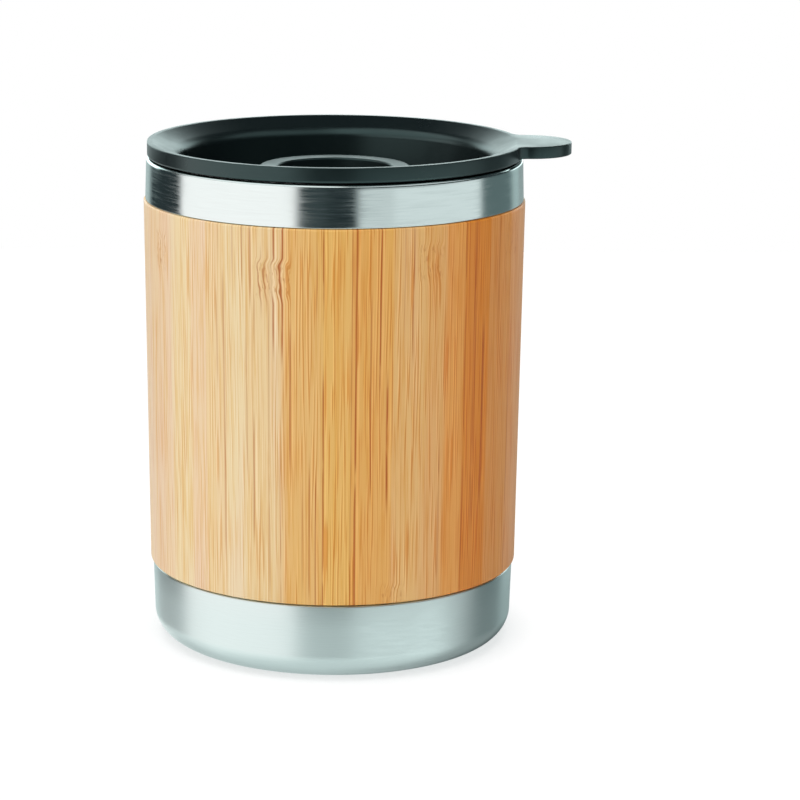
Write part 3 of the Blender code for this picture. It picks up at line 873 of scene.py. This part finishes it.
def bamboo_material(t):
    """Lacquered bamboo, laid out by the angle from the front and the height.

    Strips give the tone, each from its own angle on. Streaks are noise stretched along the height over the
    arc length. That course leans a little, and steps aside inside a knuckle, so that every line bends
    there. Named fibres are narrow bands of the course, and a strong one has a lighter line beside it, a
    painted highlight, as each faint vein has too.
    """
    s = t.sleeve
    made, tree, shader = new_material("lacquered_bamboo", Coat_Weight=0.08, Coat_Roughness=0.24, IOR=1.38)
    x, y, z = axes(tree)[1:]
    angle = x.calc("ARCTAN2", y * -1.0)
    way = angle * SLEEVE_RADIUS
    around = angle * DEGREES
    level = z * 1000.0

    def field(u, across, along, detail=2.0, start=0.0):
        """Noise with its own cells per metre across and along the bamboo, counted from start."""
        return vector(tree, u * across + start, z * along).noise(1.0, detail, 0.55, "2D")

    def near(value, middle, half, inner=0.3, outer=1.2, weight=1.0):
        """Weight at the middle that falls to 0 between two shares of the half width."""
        return (value - middle).calc("ABSOLUTE").smoothstep(inner * half, outer * half, weight, 0.0)

    joint = bend = 0.0
    for place, half, height, strength in KNUCKLES:
        strip = near(around, place, half, inner=0.7, outer=1.05, weight=strength)
        above = level - height
        joint = strip * near(above, 0.0, KNUCKLE_HALF, inner=0.5, outer=1.1) + joint
        aside = above.smoothstep(-5.5, -1.5) * above.smoothstep(2.4, 4.2, 1.0, 0.0)
        bend = strip * aside + bend
    lean = (field(way, 90.0, 14.0) - 0.5) * LEAN
    wave = (field(way, 500.0, 260.0, detail=1.0) - 0.5) * KNUCKLE_WAVE * joint
    course = way + lean + (bend * KNUCKLE_STEP + wave)
    degrees = course * (DEGREES / SLEEVE_RADIUS)

    named = painted_gleam = 0.0
    for place, half, weight, low, high in FIBRES:
        reach = level.between(low, high, soft=4)
        line = near(degrees, place, half, weight=weight) * reach
        named = line.maximum(named)
        # A strong fibre gets a painted highlight: a lighter line beside it
        if weight > STRONG:
            line = near(degrees, place + PAINTED_GLEAM_ASIDE * half, half, weight=weight) * reach
            painted_gleam = line.maximum(painted_gleam)

    fine, broad = field(course, 2700.0, 80.0), field(course, 900.0, 44.0, detail=3.0)
    slow, hue = field(course, 240.0, 14.0), field(course, 170.0, 8.0, detail=1.0, start=31.0)
    light = fine * 0.30 + broad * 0.45 + slow * 0.25
    veins, gleams = (field(u, 3000.0, 54.0, detail=0.0, start=7.0).smoothstep(0.54, 0.74)
                     for u in (course, course + GLEAM_ASIDE))
    clouds = field(course, 330.0, 20.0, detail=1.0, start=77.0)
    grain = around.smoothstep(-20.0, -8.0, 0.72, 1.1) * clouds.smoothstep(0.36, 0.58, 0.45, 1.25)
    named = named * field(course, 500.0, 55.0).smoothstep(0.26, 0.42)
    ticks = field(way, 2300.0, 520.0, detail=1.0).smoothstep(0.60, 0.70) * joint
    # Faint veins get lighter lines beside them as well, painted highlights
    painted_gleam = (gleams * grain * 0.7).maximum(painted_gleam)
    dark = (ticks * 0.5).maximum(named)

    wood = rgba(getattr(s, STRIPS[0][2]))
    for start, soft, tone in STRIPS[1:]:
        wood = around.smoothstep(start - soft, start + soft).mix(wood, rgba(getattr(s, tone)))
    # The lighter lines beside the dark ones raise the tone as a painted highlight
    for factor, tint in (
        (hue.smoothstep(0.40, 0.60), YELLOWED), (light.smoothstep(0.54, 0.34), SHADED),
        (veins * grain, s.stain), (joint * 0.4, JOINTED), (painted_gleam, PAINTED_GLEAM), (dark, s.fibre),
    ):
        wood = factor.mix(wood, rgba(tint), "MULTIPLY")
    wood.feed(shader, "Base Color")
    light.smoothstep(0.3, 0.7, 0.54, 0.42).feed(shader, "Roughness")
    (light - dark * 0.35).bump(shader, strength=0.25, distance=0.00012)
    return made


def moulded_material(name, tint, roughness, level, scale, depth):
    """Moulded plastic or silicone: grain is in the normal, the rubbed cloud in tint and roughness."""
    made, tree, shader = new_material(
        name, IOR=1.49, Specular_IOR_Level=level, Specular_Tint=rgba(GLOSS))
    grain = put(tree, "ShaderNodeGroup", {"Scale": scale}, node_tree=grain_group())
    rub = grain["Rub"]
    rub.mix(rgba(tint, 0.8), rgba(tint, 1.2)).feed(shader, "Base Color")
    rub.smoothstep(0.3, 0.7, roughness + 0.04, roughness - 0.04).feed(shader, "Roughness")
    grain["Grain"].bump(shader, strength=0.25, distance=depth)
    return made


def lid_plastic(t):
    """Black plastic that the lid and its closure share."""
    return moulded_material(
        "lid_plastic_satin", t.lid.plastic, roughness=0.31, level=0.72, scale=5200.0, depth=0.00001)


class TUMBLER_OT_steel_body(bpy.types.Operator):
    """Builds the steel shell with its polished band, the liner and the bottom plate"""
    bl_idname = "tumbler.steel_body"
    bl_label = "Steel Body"

    def execute(self, context):
        t = context.scene.tumbler
        polished = steel_material("polished_steel_turned", t.steel.polished, roughness=0.15, spread=0.07,
                                  around=4.0, across=3200.0, anisotropic=0.0, depth=0.00001)
        drawn = steel_material("drawn_steel_inside", t.steel.drawn, roughness=0.30, spread=0.06,
                               around=4.0, across=3200.0, anisotropic=0.4, depth=0.00002)
        shell = mesh_object("steel_shell", turned(shell_profile(t), t.steel.around), polished)
        dress(shell, "cup", "outer_shell")
        cup = mesh_object("drinking_cup", turned(liner_profile(t), t.steel.around), drawn)
        dress(cup, "cup", "inner_liner")
        plate = mesh_object("bottom_pan", turned(plate_profile(t), t.steel.around), drawn)
        dress(plate, "cup", "bottom_plate")
        return {"FINISHED"}


class TUMBLER_OT_base_cap(bpy.types.Operator):
    """Builds the satin steel base with its rounded foot"""
    bl_idname = "tumbler.base_cap"
    bl_label = "Base Cap"

    def execute(self, context):
        t = context.scene.tumbler
        satin = steel_material("satin_steel_base", t.steel.satin, roughness=0.36, spread=0.05,
                               around=9.0, across=4200.0, anisotropic=0.7, depth=0.00002)
        base = mesh_object("satin_base", turned(base_profile(t), t.steel.around), satin)
        dress(base, "cup", "base_cap")
        return {"FINISHED"}


class TUMBLER_OT_bamboo_sleeve(bpy.types.Operator):
    """Builds the tapered bamboo sleeve"""
    bl_idname = "tumbler.bamboo_sleeve"
    bl_label = "Bamboo Sleeve"

    def execute(self, context):
        t = context.scene.tumbler
        bamboo = bamboo_material(t)
        sleeve = mesh_object("sleeve_bamboo", turned(sleeve_profile(t), t.steel.around), bamboo)
        dress(sleeve, "cup", "bamboo_sleeve")
        return {"FINISHED"}


class TUMBLER_OT_lid(bpy.types.Operator):
    """Builds the lid with its thumb tab and cuts the sip slot through its floor"""
    bl_idname = "tumbler.lid"
    bl_label = "Lid"

    def execute(self, context):
        t = context.scene.tumbler
        lid = mesh_object("press_in_lid", lid_shape(t), lid_plastic(t))
        floor = dish_floor(t)
        combine(lid, prism(sip_outline(t), floor - 2 * t.lid.floor, floor + t.lid.floor), "DIFFERENCE")
        dress(lid, "lid", "lid_body")
        return {"FINISHED"}


class TUMBLER_OT_lid_seal(bpy.types.Operator):
    """Builds the silicone seal in the plug's groove"""
    bl_idname = "tumbler.lid_seal"
    bl_label = "Lid Seal"

    def execute(self, context):
        t = context.scene.tumbler
        silicone = moulded_material("seal_silicone_matt", t.lid.silicone, roughness=0.58, level=0.5,
                                    scale=3000.0, depth=0.00001)
        seal = mesh_object("silicone_seal", turned(seal_profile(t), t.steel.around), silicone)
        dress(seal, "lid", "lid_seal")
        return {"FINISHED"}


class TUMBLER_OT_closure(bpy.types.Operator):
    """Builds the turning closure with its ring, finger bar, split stem and sip slot"""
    bl_idname = "tumbler.closure"
    bl_label = "Turning Closure"

    def execute(self, context):
        t = context.scene.tumbler
        c = t.closure
        plastic = bpy.data.materials.get("lid_plastic_satin") or lid_plastic(t)
        disc = mesh_object("sip_closure", turned(closure_profile(t), t.steel.around), plastic)
        combine(disc, bar_solid(t), "UNION")
        floor = dish_floor(t)
        half, end = c.snap_slot / 2, 2 * c.stem
        split = np.array([(half, -end), (half, end), (-half, end), (-half, -end)])
        combine(disc, prism(split, HEAD_FOOT - TOOL_REACH, floor), "DIFFERENCE")
        combine(disc, prism(sip_outline(t), floor - t.lid.floor, floor + 2 * c.disc), "DIFFERENCE")
        dress(disc, "closure", "closure_disc")
        return {"FINISHED"}


def floor_material():
    """White floor: the camera sees it mixed with plain white, whose share grows away from the cup as
    painted light that washes out the cup's shadow there.

    Mirrored rays pass through it to the studio's own lit table.
    """
    made, tree, shader = new_material("white_floor")
    tree.nodes.remove(shader)
    plain = put(tree, "ShaderNodeBsdfDiffuse", {"Color": (0.90, 0.91, 0.91, 1.0)})[0]
    white = put(tree, "ShaderNodeEmission", {"Color": (1.0, 1.0, 1.0, 1.0), "Strength": 1.06})[0]
    clear = put(tree, "ShaderNodeBsdfTransparent")[0]
    far = put(tree, "ShaderNodeVectorMath", {0: axes(tree)[0]}, operation="LENGTH")["Value"]
    seen, mirrored = rays(tree)
    # Painted light: the white glow's share rises away from the foot, so the cup's shadow fades out there
    share = seen * far.smoothstep(0.035, 0.046, to_low=0.58, to_high=0.88)
    whole = mirrored.blend(share.blend(plain, white), clear)
    whole.feed(tree.nodes["Material Output"], "Surface")
    return made


def studio_world(stage):
    """Soft studio: windows of light with soft edges, in azimuth and elevation, in a dark room.

    Camera rays that miss the floor see white.
    """
    world = bpy.data.worlds.new("soft_studio")
    bpy.context.scene.world = world
    world.use_nodes = True
    tree = world.node_tree
    tree.nodes.clear()
    x, y, z = axes(tree, "Generated")[1:]
    front, behind = (x.calc("ARCTAN2", away) * DEGREES for away in (y * -1.0, y))
    azimuth = {"front": front, "behind": behind}
    up = z.calc("ARCSINE") * DEGREES
    light = rgba(ROOM)
    for origin, left, right, low, high, sides, ends, radiance, setting, tint in WINDOWS:
        mask = azimuth[origin].between(left, right, sides) * up.between(low, high, ends)
        if setting:
            radiance = radiance * getattr(stage, setting)
        light = mask.mix(light, rgba(tint, radiance), "ADD")
    room = put(tree, "ShaderNodeBackground", {"Color": light})[0]
    white = put(tree, "ShaderNodeBackground", {"Color": (1.0, 1.0, 1.0, 1.0)})[0]
    seen = rays(tree)[0]
    seen.blend(room, white).feed(tree.nodes.new("ShaderNodeOutputWorld"), "Surface")


def wide_lamp(name, place, size, power):
    """Square lamp that faces the cup's middle and does not show in its gloss."""
    data = bpy.data.lights.new(name, "AREA")
    data.size = size
    data.energy = power
    lamp = bpy.data.objects.new(name, data)
    lamp.visible_glossy = lamp.visible_camera = False
    bpy.context.scene.collection.objects.link(lamp)
    towards = CUP_MIDDLE - Vector(place)
    lamp.matrix_world = Matrix.Translation(place) @ towards.to_track_quat("-Z", "Y").to_matrix().to_4x4()


def photo_camera(stage):
    """Camera in front of the cup, looking along +Y and down."""
    data = bpy.data.cameras.new("photo_camera")
    data.lens = stage.lens
    data.sensor_width = 36.0
    data.shift_x = stage.shift
    data.clip_start, data.clip_end = 0.01, 20.0
    camera = bpy.data.objects.new("photo_camera", data)
    bpy.context.scene.collection.objects.link(camera)
    tilt = Matrix.Rotation(math.pi / 2 - stage.pitch, 4, "X") @ Matrix.Rotation(stage.roll, 4, "Z")
    camera.matrix_world = Matrix.Translation((0.0, -stage.distance, stage.height)) @ tilt
    bpy.context.scene.camera = camera


class TUMBLER_OT_stage(bpy.types.Operator):
    """Sets the floor, the studio light and the camera"""
    bl_idname = "tumbler.stage"
    bl_label = "Stage"

    def execute(self, context):
        stage = context.scene.tumbler.stage
        count = 10
        side = np.linspace(-stage.floor_half, stage.floor_half, count)
        x, y = np.meshgrid(side, side, indexing="ij")
        points = np.stack([x, y, np.full_like(x, -HAIR)], -1).reshape(-1, 3)
        i = (np.arange(count - 1)[:, None] * count + np.arange(count - 1)).ravel()
        faces = np.stack([i, i + count, i + count + 1, i + 1], -1).tolist()
        floor = mesh_object("floor", (points, faces), floor_material())
        studio_world(stage)
        wide_lamp("overhead_lamp", place=(0.0, 0.0, 1.1), size=1.0, power=stage.overhead)
        wide_lamp("side_lamp", place=(1.2, -0.9, 0.9), size=1.2, power=stage.side)
        photo_camera(stage)
        context.scene.view_settings.view_transform = "Standard"
        return {"FINISHED"}


class TUMBLER_PT_panel(bpy.types.Panel):
    """Lists the tumbler's pieces and their settings"""
    bl_idname = "TUMBLER_PT_panel"
    bl_label = "Bamboo Sleeve Tumbler"
    bl_space_type = "VIEW_3D"
    bl_region_type = "UI"
    bl_category = "Tumbler"

    def draw(self, context):
        for operator in OPERATORS:
            self.layout.operator(operator.bl_idname)
        for name in ("steel", "sleeve", "lid", "closure", "stage"):
            group = getattr(context.scene.tumbler, name)
            box = self.layout.box()
            box.label(text=name.title())
            for key in group.__annotations__:
                box.prop(group, key)


GROUPS = (TUMBLER_PG_steel, TUMBLER_PG_sleeve, TUMBLER_PG_lid, TUMBLER_PG_closure, TUMBLER_PG_stage,
          TUMBLER_PG_settings)
OPERATORS = (TUMBLER_OT_steel_body, TUMBLER_OT_base_cap, TUMBLER_OT_bamboo_sleeve, TUMBLER_OT_lid,
             TUMBLER_OT_lid_seal, TUMBLER_OT_closure, TUMBLER_OT_stage)


def register():
    """Registers the classes and the scene's settings."""
    for cls in GROUPS + OPERATORS + (TUMBLER_PT_panel,):
        bpy.utils.register_class(cls)
    bpy.types.Scene.tumbler = PointerProperty(type=TUMBLER_PG_settings)


def unregister():
    """Takes the settings and the classes away again."""
    del bpy.types.Scene.tumbler
    for cls in reversed(GROUPS + OPERATORS + (TUMBLER_PT_panel,)):
        bpy.utils.unregister_class(cls)


def main():
    """Builds every piece and the stage."""
    register()
    bpy.ops.tumbler.stage()
    bpy.ops.tumbler.steel_body()
    bpy.ops.tumbler.base_cap()
    bpy.ops.tumbler.bamboo_sleeve()
    bpy.ops.tumbler.lid()
    bpy.ops.tumbler.lid_seal()
    bpy.ops.tumbler.closure()


if __name__ == "__main__":
    main()
